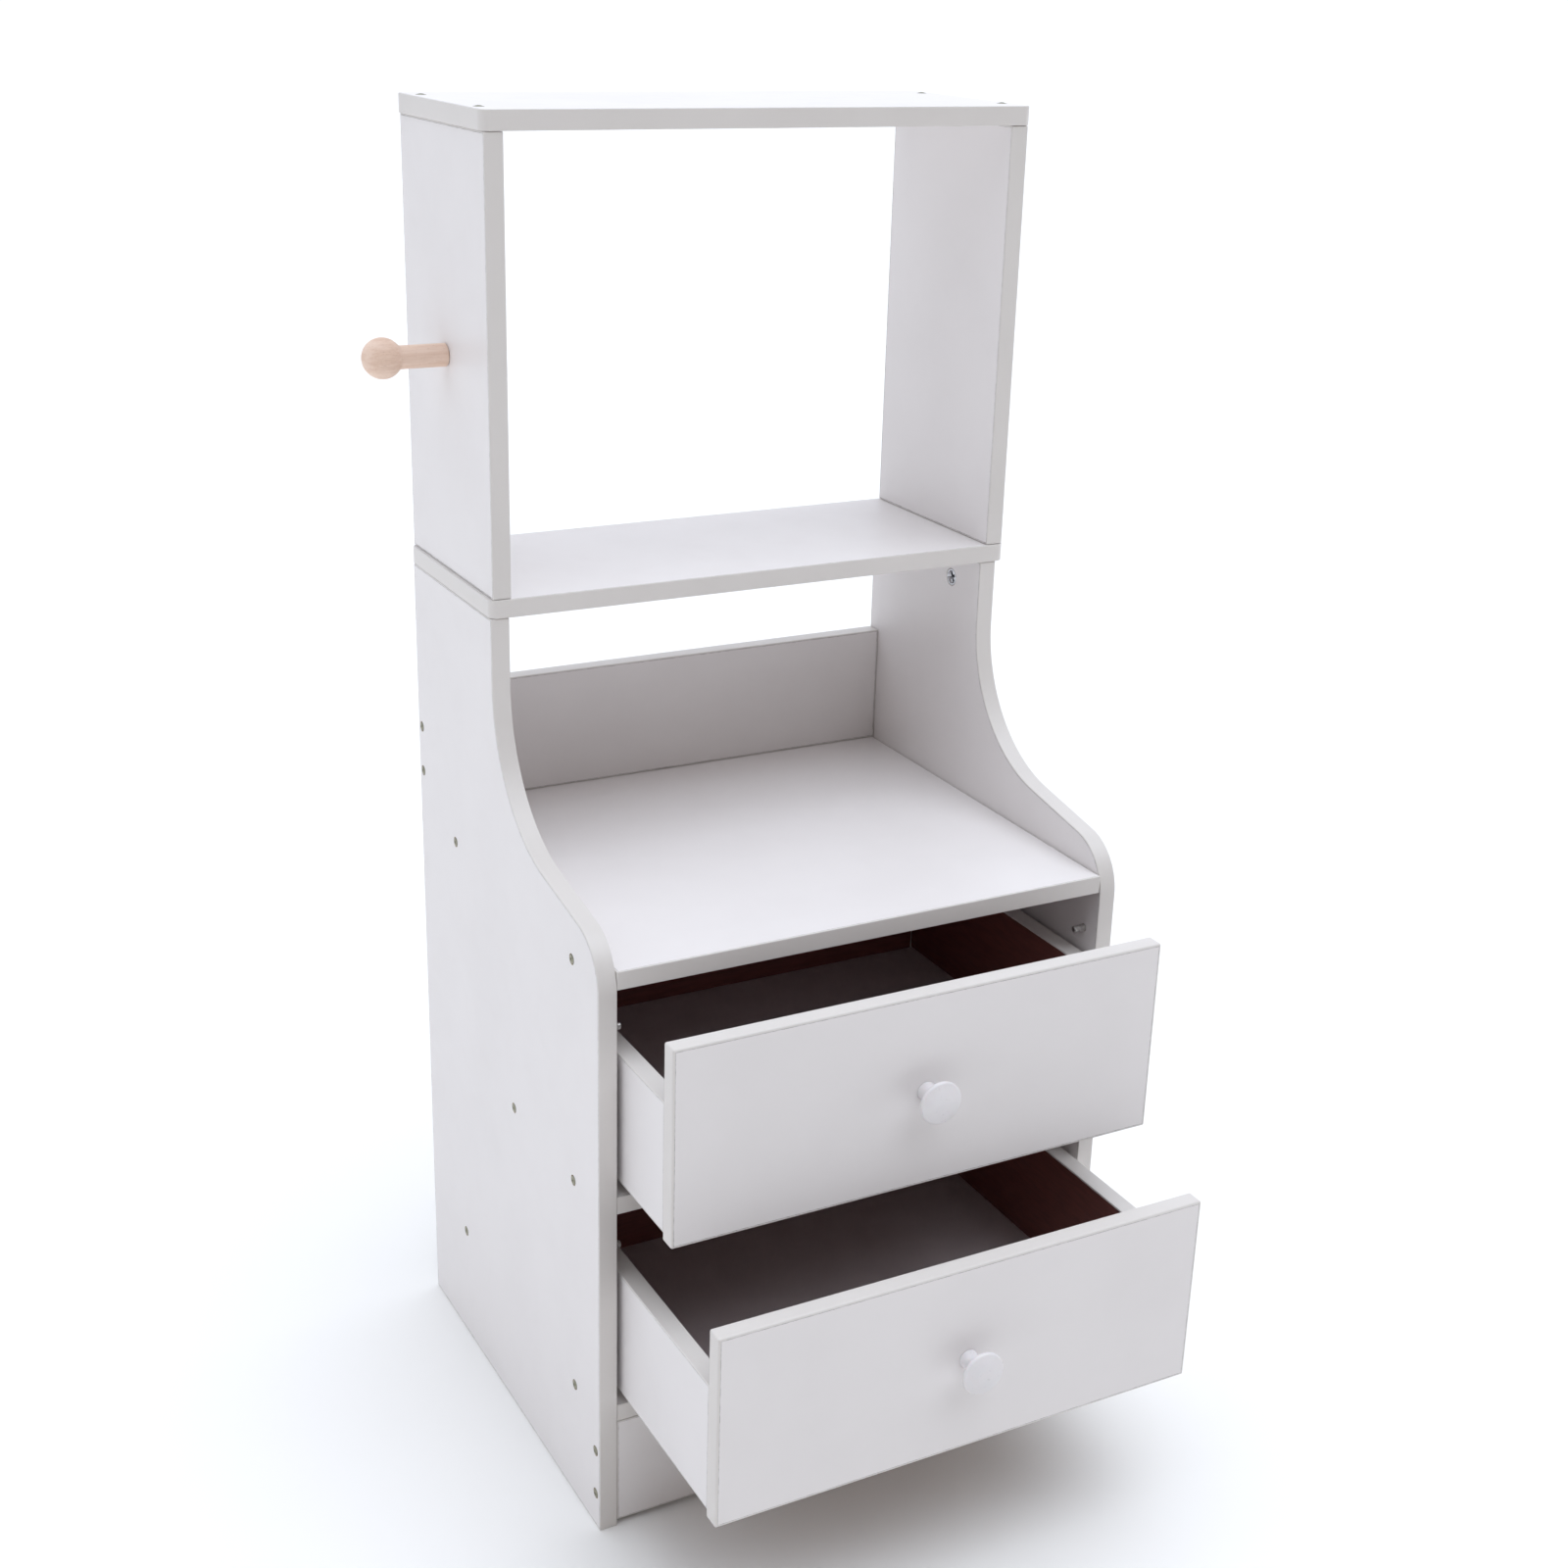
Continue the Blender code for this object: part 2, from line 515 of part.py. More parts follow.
# ---- drawers ------------------------------------------------------------------------------
def knob_profile():
    """Mushroom knob from its foot on the drawer front to the crown of its cap."""
    under = KNOB_REACH - KNOB_CAP_THICKNESS
    edge = (KNOB_CAP_RADIUS - KNOB_RIM_RADIUS, under + KNOB_RIM_RADIUS)
    crown = KNOB_CAP_THICKNESS - 2 * KNOB_RIM_RADIUS
    profile = [(0, GAP), (KNOB_BASE_RADIUS, GAP), (KNOB_BASE_RADIUS, KNOB_FOOT),
               (KNOB_WAIST_RADIUS, KNOB_WAIST_LOW)]
    hollow = (KNOB_WAIST_RADIUS + KNOB_FLARE_RADIUS, KNOB_WAIST_HIGH)
    profile += arc(hollow, KNOB_FLARE_RADIUS, 180, 180 - KNOB_FLARE_TURN, 6)
    profile += arc(edge, KNOB_RIM_RADIUS, -90, 90, 6)
    steps = 4
    for i in range(1, steps):
        share = i / steps
        profile.append((edge[0] * (1 - share), KNOB_REACH - crown * (1 - share) ** 2))
    profile.append((0, KNOB_REACH))
    return profile


def build_drawer(name, floor, opening, white, sheet, gloss, root):
    """One drawer: a front with a knob, a four-sided box and its bottom, on an empty that slides."""
    slide = bpy.data.objects.new(name, None)
    bpy.context.scene.collection.objects.link(slide)
    slide.location = (MIDDLE, -opening, floor)
    slide.parent = root
    half = FRONT_WIDTH / 2
    box = BOX_WIDTH / 2
    box_back = DEPTH - BOX_REAR_ROOM
    box_top = BOX_RISE + BOX_HEIGHT
    front = board(f"{name}_front", (-half, 0, FRONT_GAP_BOTTOM),
                  (half, BOARD, FRONT_GAP_BOTTOM + FRONT_HEIGHT), white, slide, rounding=FRONT_ROUND)
    front.modifiers["edges"].segments = 3
    left = board(f"{name}_left", (-box, BOARD + GAP, BOX_RISE),
                 (-box + BOARD, box_back, box_top), white, slide)
    right = board(f"{name}_right", (box - BOARD, BOARD + GAP, BOX_RISE),
                  (box, box_back, box_top), white, slide)
    back = board(f"{name}_back", (-box + BOARD + GAP, box_back - BOARD, BOX_RISE),
                 (box - BOARD - GAP, box_back, box_top), white, slide)
    sheet_half = box - BOARD + SHEET_GROOVE
    sheet_low = Vector((-sheet_half, BOARD - SHEET_GROOVE, BOX_RISE + SHEET_RISE))
    sheet_high = Vector((sheet_half, box_back - BOARD + SHEET_GROOVE, BOX_RISE + SHEET_RISE + SHEET))
    board(f"{name}_bottom", sheet_low, sheet_high, sheet, slide, rounding=SHEET_ROUND)
    room = Vector((GAP, GAP, GAP))
    groove_mesh = box_mesh(f"{name}_groove", sheet_high - sheet_low + 2 * room)
    groove = add_object(f"{name}_groove", groove_mesh, None, (sheet_low + sheet_high) / 2, slide)
    hide_cutter(groove)
    for piece in (front, left, right, back):
        cut(piece, groove)
    mesh = turned_mesh(f"{name}_knob", knob_profile(), FACING["front"], ROUND_STEPS)
    add_object(f"{name}_knob", mesh, gloss, (0, 0, FRONT_GAP_BOTTOM + FRONT_HEIGHT / 2), slide)


# ---- the whole cabinet --------------------------------------------------------------------
def build():
    for item in list(bpy.data.objects):
        bpy.data.objects.remove(item)
    white = finish("white_board", (0.84, 0.85, 0.87), 0.42)
    gloss = finish("gloss_white", (0.92, 0.92, 0.93), 0.15)
    sheet = finish("pale_sheet", (0.66, 0.64, 0.64), 0.40)
    beech = finish("beech", (0.78, 0.58, 0.42), 0.48)
    steel = finish("zinc_steel", (0.66, 0.64, 0.58), 0.32, 1.0)

    root = bpy.data.objects.new("cabinet", None)
    bpy.context.scene.collection.objects.link(root)
    root.location = (-(PEG_END + SHELF_RIGHT) / 2, -(KNOB_END + SHELF_BACK) / 2, 0)

    pieces = build_carcass(white, root)
    pieces.update(build_frame(white, root))
    holes = collections.defaultdict(list)
    build_runners(white, root)
    build_stops(steel, holes, root)
    build_cams(steel, holes, root)
    build_screws(steel, holes, root)
    build_peg(beech, holes, root)
    cut_holes(holes, pieces, root)
    build_drawer("upper_drawer", DIVIDER_TOP, UPPER_OPENING, white, sheet, gloss, root)
    build_drawer("lower_drawer", BOTTOM_TOP, LOWER_OPENING, white, sheet, gloss, root)


build()
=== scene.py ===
import math

import bmesh
import bpy
from mathutils import Matrix, Vector


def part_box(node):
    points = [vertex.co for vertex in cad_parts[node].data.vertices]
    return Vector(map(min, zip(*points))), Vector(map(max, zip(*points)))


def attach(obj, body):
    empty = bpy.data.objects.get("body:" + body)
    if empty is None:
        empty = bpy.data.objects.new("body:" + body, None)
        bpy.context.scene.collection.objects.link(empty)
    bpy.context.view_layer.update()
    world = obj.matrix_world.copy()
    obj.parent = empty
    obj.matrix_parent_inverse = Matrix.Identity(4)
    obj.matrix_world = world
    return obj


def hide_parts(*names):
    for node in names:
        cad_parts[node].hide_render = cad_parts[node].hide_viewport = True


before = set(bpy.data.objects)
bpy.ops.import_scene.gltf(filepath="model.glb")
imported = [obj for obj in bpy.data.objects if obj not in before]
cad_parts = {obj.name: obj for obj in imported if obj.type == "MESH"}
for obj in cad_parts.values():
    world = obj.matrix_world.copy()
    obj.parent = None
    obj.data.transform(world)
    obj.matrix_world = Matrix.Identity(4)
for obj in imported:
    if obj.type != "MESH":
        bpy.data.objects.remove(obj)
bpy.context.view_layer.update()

# ---- Side panels -----------------------------------------------------------------------------
# 15 mm chipboard with white melamine on both faces and a thin white band glued round the edge.
# The front edge runs up to a rounded nose and sweeps back in a hollow to a narrow neck.
# They carry the boards between them, which are screwed on through them from outside.
NOSE_RADIUS = 0.045
NOSE_DROP = 0.018            # nose's centre below the deck's upper face
SWEEP_RADIUS = 0.120
NECK_STRAIGHT = 0.055
NECK_DEPTH = 0.180
ARC_STEPS = 40
EDGE_ROUND = 0.0008          # rounding of a banded edge
EDGE_STEPS = 3
BAND_LIP = 0.0004            # flat rim of the band beside its rounding
GLUE_LINE = 0.0003
GLUE_DEPTH = 0.00012
SHARP = math.radians(50)     # a board's edges are sharper than this, and its curves are not
SQUARE = 0.9999              # least cosine between a flat face's normal and its axis
FACE, BAND, GLUE, RAW = range(4)     # a board's material slots


class Wire:
    """A value inside a material. Arithmetic on it adds Math nodes."""

    def __init__(self, tree, socket=None):
        self.tree = tree
        self.socket = socket

    def node(self, kind, settings, inputs, output=0):
        """A new node of that kind, with its settings made first, as the wire from one output."""
        made = self.tree.nodes.new("ShaderNode" + kind)
        for name, value in settings.items():
            setattr(made, name, value)
        for name, value in inputs.items():
            if isinstance(value, Wire):
                self.tree.links.new(value.socket, made.inputs[name])
            else:
                made.inputs[name].default_value = value
        return Wire(self.tree, made.outputs[output])

    def maths(self, operation, *values):
        return self.node("Math", {"operation": operation}, dict(enumerate(values)))

    def __add__(self, other):
        return self.maths("ADD", self, other)

    def __sub__(self, other):
        return self.maths("SUBTRACT", self, other)

    def __rsub__(self, other):
        return self.maths("SUBTRACT", other, self)

    def __mul__(self, other):
        return self.maths("MULTIPLY", self, other)

    __radd__ = __add__
    __rmul__ = __mul__

    def between(self, low, high):
        """0 below low, 1 above high, and a soft step between them."""
        settings = {"interpolation_type": "SMOOTHSTEP"}
        return self.node("MapRange", settings, {0: self, 1: low, 2: high})

    def stretched(self, scale):
        return self.node("Mapping", {}, {"Vector": self, "Scale": scale})

    def noise(self, size, detail=2.0, distortion=0.0):
        """Cloudy noise whose patches are about size metres across."""
        return self.node("TexNoise", {}, {"Vector": self, "Scale": 1 / size, "Detail": detail,
                                          "Distortion": distortion})

    def mix(self, first, second):
        """The first colour where this is 0, and the second where it is 1."""
        return self.node("Mix", {"data_type": "RGBA"}, {0: self, 6: first, 7: second}, 2)

    def bump(self, depth, strength=1.0):
        """A Normal that turns this height, from 0 to 1, into relief of that depth in metres."""
        return self.node("Bump", {}, {"Height": self, "Distance": depth, "Strength": strength})


def new_material(name, **constants):
    """A material, its shader's inputs, and Object coordinates to draw patterns on."""
    made = bpy.data.materials.new(name)
    made.use_nodes = True
    tree = made.node_tree
    shader = tree.nodes["Principled BSDF"]
    for socket, value in constants.items():
        shader.inputs[socket.replace("_", " ")].default_value = value
    place = Wire(tree).node("TexCoord", {}, {}, "Object")

    def feed(socket, wire):
        tree.links.new(wire.socket, shader.inputs[socket])

    return made, feed, place


def melamine(name, light, dull, gloss, pearl):
    """Paper-faced board: an even coat with a fine pearl relief and a slightly cloudy sheen.

    Gloss is its least roughness, and pearl the depth of its relief in metres."""
    made, feed, place = new_material(name, IOR=1.5)
    cloud = place.noise(0.09, 3.0)
    feed("Base Color", cloud.between(0.35, 0.75).mix(light, dull))
    handled = place.noise(0.025, 4.0, 0.6).between(0.45, 0.8)
    feed("Roughness", gloss + 0.10 * handled + 0.05 * place.noise(0.0015))
    feed("Normal", place.noise(0.0011, 2.0).bump(pearl, 0.5))
    return made


white_face = melamine("white_melamine", (0.80, 0.767, 0.757, 1), (0.78, 0.747, 0.737, 1),
                      gloss=0.38, pearl=0.00003)
white_band = melamine("white_edge_band", (0.70, 0.665, 0.635, 1), (0.68, 0.645, 0.615, 1),
                      gloss=0.33, pearl=0.00001)

glue, glue_feed, glue_place = new_material("glue_line", Roughness=0.7)
gaps = glue_place.noise(0.006, 3.0).between(0.35, 0.65)
glue_feed("Base Color", gaps.mix((0.24, 0.225, 0.225, 1), (0.60, 0.58, 0.575, 1)))

raw_board, raw_feed, raw_place = new_material("raw_chipboard", Roughness=0.9)
chips = raw_place.stretched((1.0, 1.0, 2.5)).noise(0.0016, 4.0).between(0.3, 0.7)
raw_feed("Base Color", chips.mix((0.30, 0.20, 0.11, 1), (0.55, 0.42, 0.27, 1)))
raw_feed("Normal", chips.bump(0.0002))

BOARD_MATERIALS = (white_face, white_band, glue, raw_board)


def only(piece):
    """Leaves that piece alone selected and active, out of edit mode."""
    if bpy.context.object and bpy.context.object.mode == "EDIT":
        bpy.ops.object.mode_set(mode="OBJECT")
    bpy.ops.object.select_all(action="DESELECT")
    piece.select_set(True)
    bpy.context.view_layer.objects.active = piece
    return piece


def start(name, place):
    """A new mesh in edit mode, of one vertex, that an outline is drawn on from."""
    bpy.ops.object.select_all(action="DESELECT")
    bpy.ops.mesh.primitive_plane_add(size=0.001, location=place)
    piece = bpy.context.object
    piece.name = name
    bpy.ops.object.mode_set(mode="EDIT")
    bpy.ops.mesh.select_mode(type="VERT")
    bpy.ops.mesh.select_all(action="SELECT")
    bpy.ops.mesh.merge(type="CENTER")
    return piece


def straight(step):
    bpy.ops.mesh.extrude_region_move(TRANSFORM_OT_translate={"value": step})


def curve(centre, axis, turn, steps=ARC_STEPS):
    """Carries the selected end of the outline round a centre."""
    bpy.ops.mesh.spin(steps=steps, angle=turn, center=centre, axis=axis)


def pick(piece, mode, test):
    """Selects the faces or edges of a mesh in edit mode that pass the test."""
    bpy.ops.mesh.select_mode(type=mode)
    bpy.ops.mesh.select_all(action="DESELECT")
    mesh = bmesh.from_edit_mesh(piece.data)
    for item in mesh.faces if mode == "FACE" else mesh.edges:
        if test(item):
            item.select_set(True)
    mesh.select_flush_mode()
    bmesh.update_edit_mesh(piece.data)


def paint(piece, slot):
    piece.active_material_index = slot
    bpy.ops.object.material_slot_assign()


def close_outline(step):
    """Fills the outline and draws it out into a solid."""
    bpy.ops.mesh.select_all(action="SELECT")
    bpy.ops.mesh.edge_face_add()
    straight(step)
    bpy.ops.mesh.select_all(action="SELECT")
    bpy.ops.mesh.normals_make_consistent(inside=False)


def band(piece, thin, rounding=EDGE_ROUND, steps=EDGE_STEPS):
    """Rounds a board's edges, and gives it its edge band and the glue line round each face.

    Thin is the axis that its thickness lies along."""
    for material in BOARD_MATERIALS:
        piece.data.materials.append(material)
    bpy.ops.mesh.select_mode(type="EDGE")
    bpy.ops.mesh.select_all(action="DESELECT")
    bpy.ops.mesh.edges_select_sharp(sharpness=SHARP)
    bpy.ops.mesh.bevel(offset_type="OFFSET", offset=rounding, segments=steps, profile=0.5,
                       affect="EDGES")
    bpy.ops.mesh.select_all(action="SELECT")
    paint(piece, BAND)
    pick(piece, "FACE", lambda face: abs(face.normal[thin]) > SQUARE)
    bpy.ops.mesh.inset(thickness=BAND_LIP, depth=0)
    paint(piece, GLUE)
    bpy.ops.mesh.inset(thickness=GLUE_LINE / 2, depth=-GLUE_DEPTH)
    bpy.ops.mesh.inset(thickness=GLUE_LINE / 2, depth=GLUE_DEPTH)
    paint(piece, FACE)


made_pieces = []


def keep(piece, body, nodes):
    """Sets a finished piece's place into its mesh, and ties it to its body, nodes and finish."""
    only(piece)
    bpy.ops.object.transform_apply(location=True, rotation=True, scale=True)
    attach(piece, body)
    if nodes:
        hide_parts(*nodes)
    made_pieces.append(piece)
    return piece


def side_panel(node):
    low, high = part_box(node)
    neck = high.y - NECK_DEPTH
    nose = Vector((low.x, low.y + NOSE_RADIUS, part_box("deck")[1].z - NOSE_DROP))
    hollow = Vector((low.x, neck - SWEEP_RADIUS, high.z - NECK_STRAIGHT))
    run = hollow - nose
    radii = NOSE_RADIUS + SWEEP_RADIUS
    tilt = math.acos(radii / run.length) - math.atan2(run.y, run.z)
    turn = math.pi / 2 - tilt
    tangent = math.sqrt(run.length_squared - radii ** 2)
    piece = start(node + "_board", low)
    straight((0, 0, nose.z - low.z))
    curve(nose, (1, 0, 0), turn)
    straight((0, tangent * math.cos(tilt), tangent * math.sin(tilt)))
    curve(hollow, (1, 0, 0), -turn)
    straight((0, 0, high.z - hollow.z))
    straight((0, high.y - neck, 0))
    straight((0, 0, low.z - high.z))
    close_outline((high.x - low.x, 0, 0))
    band(piece, thin=0)
    return keep(piece, "carcass", [node])


boards = {node: side_panel(node) for node in ("left_side", "right_side")}

# ---- Deck, divider, bottom board and back rail ------------------------------------------------
# The same faced board, cut to lie between the side panels. The divider is shallow, and the back
# rail stands on the deck's rear edge. Each is held by two screws at either end.
CORNER_STEPS = 12


def flat_board(node, rounding=EDGE_ROUND, corner=0.0, steps=EDGE_STEPS):
    """A banded board that fills the node's box, in edit mode. Corner is its corners' radius."""
    low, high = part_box(node)
    size = high - low
    thin = min(range(3), key=lambda axis: size[axis])
    bpy.ops.object.select_all(action="DESELECT")
    bpy.ops.mesh.primitive_cube_add(size=1, location=(low + high) / 2)
    piece = bpy.context.object
    piece.name = node + "_board"
    bpy.ops.object.mode_set(mode="EDIT")
    bpy.ops.transform.resize(value=size)
    if corner:
        pick(piece, "EDGE", lambda edge: abs((edge.verts[0].co - edge.verts[1].co)[thin])
             > size[thin] / 2)
        bpy.ops.mesh.bevel(offset_type="OFFSET", offset=corner, segments=CORNER_STEPS,
                           profile=0.5, affect="EDGES")
    band(piece, thin, rounding, steps)
    return piece


for node in ("deck", "divider", "bottom_board", "back_rail"):
    boards[node] = keep(flat_board(node), "carcass", [node])

# ---- Plinth -----------------------------------------------------------------------------------
# A board on edge under the bottom board, just clear of the floor. Its lower edge is cut away in
# the middle, with both ends of the notch at 45 degrees.
PLINTH_FOOT = 0.069
PLINTH_NOTCH = 0.020

low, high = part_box("plinth")
notch = high.x - low.x - 2 * (PLINTH_FOOT + PLINTH_NOTCH)
plinth = start("plinth_board", low)
straight((PLINTH_FOOT, 0, 0))
straight((PLINTH_NOTCH, 0, PLINTH_NOTCH))
straight((notch, 0, 0))
straight((PLINTH_NOTCH, 0, -PLINTH_NOTCH))
straight((PLINTH_FOOT, 0, 0))
straight((0, 0, high.z - low.z))
straight((low.x - high.x, 0, 0))
close_outline((0, high.y - low.y, 0))
band(plinth, thin=1)
boards["plinth"] = keep(plinth, "carcass", ["plinth"])

# ---- Back panel -------------------------------------------------------------------------------
# A 3 mm sheet, white on both faces, nailed over the back of the drawer bays. The small round
# nails go into the side panels, the deck and the bottom board. The divider ends short of it.
SHEET_ROUND = 0.0003
NAIL_HEAD = 0.0015
NAIL_RISE = 0.0004
NAIL_CROWN = 0.3             # share of the head that its domed edge takes
NAIL_SHANK = 0.000375
NAIL_POINT = 0.0015
NAIL_LENGTH = 0.012
NAIL_SPACE = 0.090           # nails stand at most this far apart
NAIL_END_ROOM = 0.03         # outer nails of an upright row, from the sheet's ends
NAIL_SIDE_ROOM = 0.08        # and of a level row, from its sides
NAIL_TOP_ROOM = 0.004        # no nail is nearer to the sheet's upper edge
NAIL_TURNING = 16            # faces round a nail
ZINC_PATCH = 0.8             # how bright the duller patches of the zinc are
SAME_POINT = 0.000002        # points of a turning that are this close become one


def zinc(name, colour, rough):
    """Plated steel: fine brushed scratches, and a duller patch here and there."""
    made, feed, place = new_material(name, Metallic=1.0)
    patch = place.noise(0.002, 3.0).between(0.4, 0.7)
    feed("Base Color", patch.mix(colour, tuple(ZINC_PATCH * part for part in colour[:3]) + (1,)))
    scratch = place.stretched((1.0, 1.0, 9.0)).noise(0.0006, 3.0)
    feed("Roughness", rough + 0.15 * patch + 0.12 * scratch)
    feed("Normal", scratch.bump(0.00002, 0.6))
    return made


bright_zinc = zinc("bright_zinc", (0.60, 0.59, 0.57, 1), 0.22)


def turned(name, steps=48):
    """Spins the drawn profile, radius along X and height along Z, once round the Z axis."""
    bpy.ops.mesh.select_all(action="SELECT")
    bpy.ops.mesh.spin(steps=steps, angle=math.tau, center=(0, 0, 0), axis=(0, 0, 1))
    bpy.ops.mesh.select_all(action="SELECT")
    bpy.ops.mesh.remove_doubles(threshold=SAME_POINT)
    bpy.ops.mesh.normals_make_consistent(inside=False)
    piece = only(bpy.context.object)
    bpy.ops.object.transform_apply(location=True, rotation=True, scale=True)
    piece.name = name
    return piece


def spread(first, last, gap):
    """Evenly spaced places from first to last, at most a gap apart."""
    count = math.ceil(abs(last - first) / gap)
    return [first + (last - first) * step / count for step in range(count + 1)]


def facing(direction):
    """The turn that points a piece's own Z axis that way."""
    return Vector(direction).to_track_quat("Z", "Y").to_euler()


def copy_of(piece, name, place, direction, spin=0.0):
    """A copy with its own mesh, at that place, with its Z axis along the direction."""
    made = piece.copy()
    made.data = piece.data.copy()
    made.name = name
    bpy.context.scene.collection.objects.link(made)
    made.matrix_world = (Matrix.Translation(place) @ facing(direction).to_matrix().to_4x4()
                         @ Matrix.Rotation(spin, 4, "Z"))
    return made


def joined(pieces, name):
    """Makes one piece of several."""
    only(pieces[0])
    for piece in pieces[1:]:
        piece.select_set(True)
    bpy.ops.object.join()
    pieces[0].name = name
    return pieces[0]


boards["back_panel"] = keep(flat_board("back_panel", rounding=SHEET_ROUND), "carcass",
                            ["back_panel"])
low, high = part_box("back_panel")
start("nail", (0, 0, -NAIL_LENGTH))
straight((NAIL_SHANK, 0, NAIL_POINT))
straight((0, 0, NAIL_LENGTH - NAIL_POINT))
straight((NAIL_HEAD - NAIL_SHANK, 0, 0))
straight((0, 0, NAIL_RISE / 2))
straight((-NAIL_CROWN * NAIL_HEAD, 0, NAIL_RISE / 2))
straight((NAIL_CROWN * NAIL_HEAD - NAIL_HEAD, 0, 0))
nail = turned("nail", NAIL_TURNING)
nail.data.materials.append(bright_zinc)
nail_places = []
for node in ("left_side", "right_side"):
    one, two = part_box(node)
    rows = spread(low.z + NAIL_END_ROOM, high.z - NAIL_END_ROOM, NAIL_SPACE)
    nail_places += [((one.x + two.x) / 2, z) for z in rows]
for node in ("deck", "bottom_board"):
    one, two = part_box(node)
    row = min((one.z + two.z) / 2, high.z - NAIL_TOP_ROOM)
    columns = spread(low.x + NAIL_SIDE_ROOM, high.x - NAIL_SIDE_ROOM, NAIL_SPACE)
    nail_places += [(x, row) for x in columns]
nails = [copy_of(nail, "nail_copy", (x, high.y, z), (0, 1, 0)) for x, z in nail_places]
bpy.data.objects.remove(nail)
keep(joined(nails, "back_panel_nails"), "carcass", [])

# ---- Middle shelf, uprights and top board -----------------------------------------------------
# The open frame. Both level boards have rounded corners, run a little past the uprights, and
# the band goes right round them. The top board is screwed down into the uprights' ends.
SHELF_CORNER = 0.007

for node in ("middle_shelf", "top_board"):
    boards[node] = keep(flat_board(node, corner=SHELF_CORNER), "carcass", [node])
for node in ("left_upright", "right_upright"):
    boards[node] = keep(flat_board(node), "carcass", [node])

# ---- Peg --------------------------------------------------------------------------------------
# One piece of plain turned beech with a ball end, glued by its tenon into the left upright.
# Beech shows short dark flecks along the grain and soft growth bands.
PEG_STEM = 0.0090
PEG_FILLET = 0.0040
PEG_TENON = 0.0050
PEG_CHAMFER = 0.0006
PEG_SHADOW_GAP = 0.0003      # stem's shoulder off the upright
FILLET_STEPS = 12
BALL_STEPS = 40
FINE_TURNING = 64            # faces round the larger turned pieces

beech, beech_feed, beech_place = new_material("turned_beech", IOR=1.45)
bands = beech_place.stretched((0.6, 9.0, 26.0)).noise(0.09, 2.0, 0.4)
fibre = beech_place.stretched((1.0, 14.0, 14.0)).noise(0.012, 3.0)
flecks = beech_place.stretched((1.0, 7.0, 7.0)).noise(0.0035, 1.0).between(0.63, 0.74)
wood = bands.between(0.35, 0.68).mix((0.865, 0.665, 0.545, 1), (0.78, 0.56, 0.435, 1))
wood = (0.22 * fibre.between(0.4, 0.75)).mix(wood, (0.60, 0.38, 0.24, 1))
wood = (0.28 * flecks).mix(wood, (0.40, 0.21, 0.11, 1))
beech_feed("Base Color", wood)
beech_feed("Roughness", 0.46 + 0.14 * fibre + 0.10 * flecks)
beech_feed("Normal", (fibre * 0.5 - flecks * 0.5 + 0.5).bump(0.00006, 0.7))

low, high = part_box("peg")
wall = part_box("left_upright")[0].x
ball = (high.z - low.z) / 2
reach = wall - low.x
ball_height = reach - ball
across = PEG_STEM + PEG_FILLET
fillet_height = ball_height - math.sqrt((ball + PEG_FILLET) ** 2 - across ** 2)
hollow_turn = math.acos(across / (ball + PEG_FILLET))
start("peg_turning", (0, 0, wall - high.x))
straight((PEG_TENON, 0, 0))
straight((0, 0, high.x - wall + PEG_SHADOW_GAP))
straight((PEG_STEM - PEG_TENON - PEG_CHAMFER, 0, 0))
straight((PEG_CHAMFER, 0, PEG_CHAMFER))
straight((0, 0, fillet_height - PEG_SHADOW_GAP - PEG_CHAMFER))
curve((across, 0, fillet_height), (0, 1, 0), -hollow_turn, FILLET_STEPS)
curve((0, 0, ball_height), (0, 1, 0), math.pi / 2 + hollow_turn, BALL_STEPS)
peg = turned("peg_turning", FINE_TURNING)
peg.data.materials.append(beech)
peg.matrix_world = (Matrix.Translation((wall, (low.y + high.y) / 2, (low.z + high.z) / 2))
                    @ facing((-1, 0, 0)).to_matrix().to_4x4())
keep(peg, "carcass", ["peg"])

# ---- Drawers ----------------------------------------------------------------------------------
# Each has a banded front with softer edges, a box of three boards behind it and a thin hardboard
# bottom held in grooves, pale on top and bare brown beneath. The box is white outside and on its
# edges, and its inner faces are covered in a dark red-brown foil.
FRONT_ROUND = 0.0016
FRONT_STEPS = 4
SHEET_STEPS = 2
GROOVE_ROOM = 0.0003         # grooves are this much wider than the bottom on every side
DOWNWARD = -0.9              # a face that looks down has a normal below this

foil, foil_feed, foil_place = new_material("brown_foil", IOR=1.5)
streak = foil_place.stretched((1.0, 1.0, 11.0)).noise(0.02, 4.0, 0.3)
foil_colour = streak.between(0.3, 0.75).mix((0.19, 0.060, 0.048, 1), (0.14, 0.045, 0.037, 1))
foil_feed("Base Color", foil_colour)
foil_feed("Roughness", 0.42 + 0.14 * foil_place.noise(0.03, 3.0))
foil_feed("Normal", streak.bump(0.00004, 0.5))

hardboard, hard_feed, hard_place = new_material("pale_hardboard", IOR=1.5)
fibres = hard_place.noise(0.0014, 4.0, 0.8)
mottle = hard_place.noise(0.045, 3.0)
pale_sheet = mottle.between(0.3, 0.7).mix((0.55, 0.475, 0.48, 1), (0.52, 0.445, 0.45, 1))
hard_feed("Base Color", (0.3 * fibres.between(0.45, 0.8)).mix(pale_sheet, (0.44, 0.37, 0.37, 1)))
hard_feed("Roughness", 0.30 + 0.10 * mottle + 0.10 * fibres)
hard_feed("Normal", fibres.bump(0.00003, 0.5))

